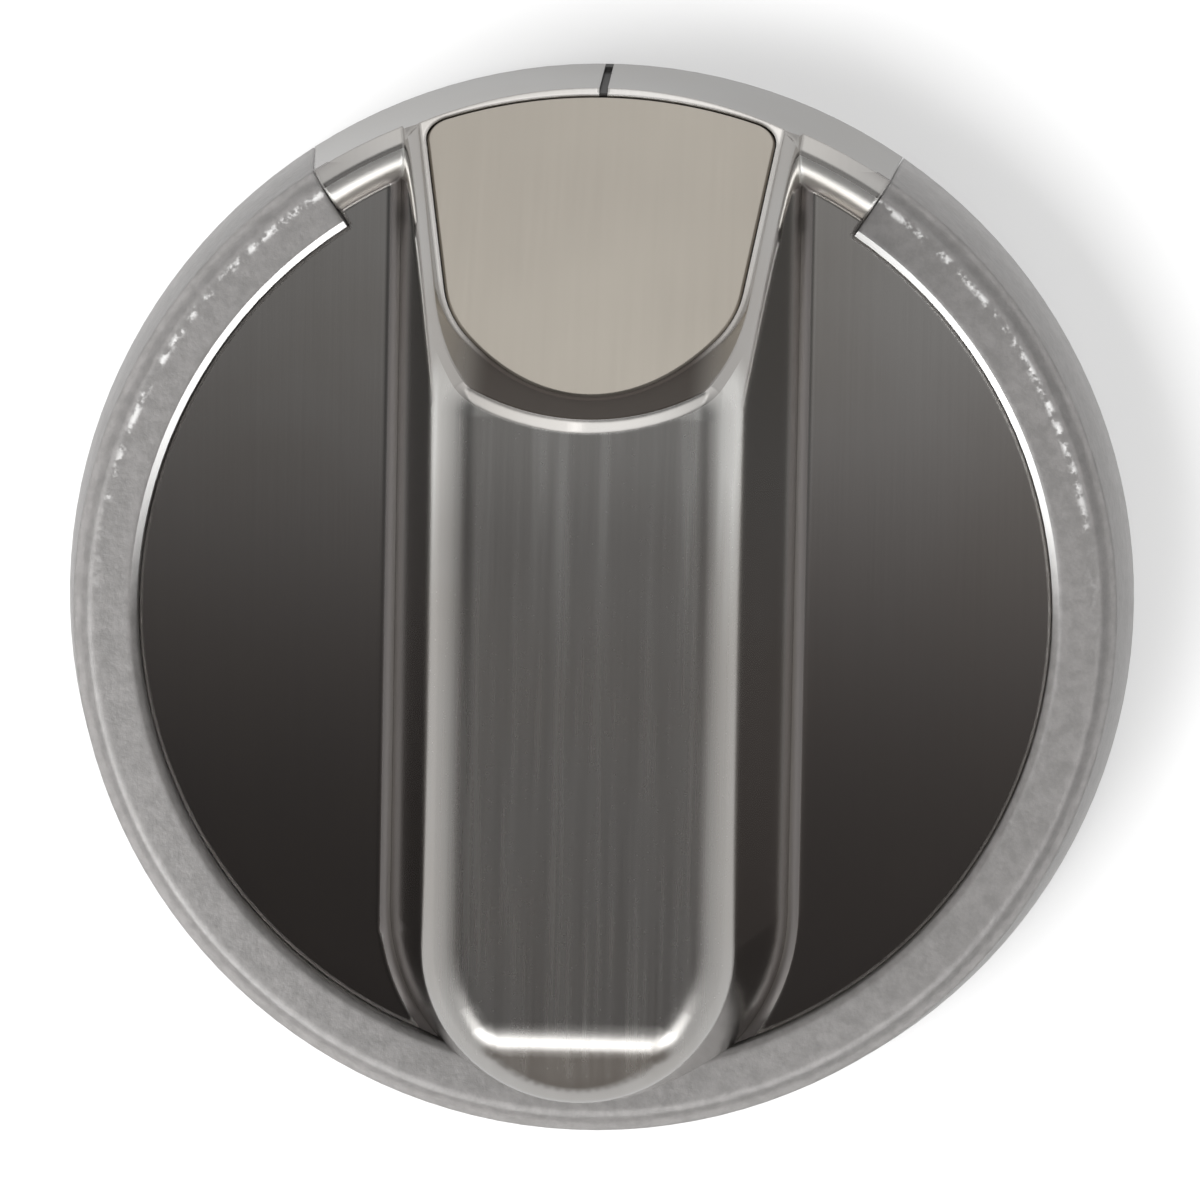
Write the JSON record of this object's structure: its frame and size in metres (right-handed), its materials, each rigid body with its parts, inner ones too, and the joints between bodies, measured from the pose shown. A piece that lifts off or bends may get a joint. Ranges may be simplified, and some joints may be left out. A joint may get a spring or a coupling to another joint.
{
  "type": "grill control knob",
  "caption": "Round satin-chrome control knob with a raised bar handle, a slanted bare badge pad, a pointer line and a frosted light ring, on a keyed shaft socket.",
  "frame": {"origin": "on the valve shaft's axis, at the plane of the back rim", "axes": "+Z along the shaft's axis, out of the panel towards the user; +Y towards the pointer line; +X to the right as the user sees the knob"},
  "size_m": [0.07, 0.07, 0.033],
  "materials": {
    "satin_chrome": "satin chrome plate on a zinc casting, brushed along the handle",
    "frosted_plastic": "clear plastic, frosted",
    "badge_metal": "satin, bare",
    "black_plastic": "moulded, fine grain",
    "spring_steel": "rolled strip"
  },
  "bodies": {
    "root": {"knob_body": "satin_chrome", "light_ring": "frosted_plastic", "badge_plate": "badge_metal", "rear_plate": "black_plastic", "shaft_spring": "spring_steel"}
  },
  "joints": []
}
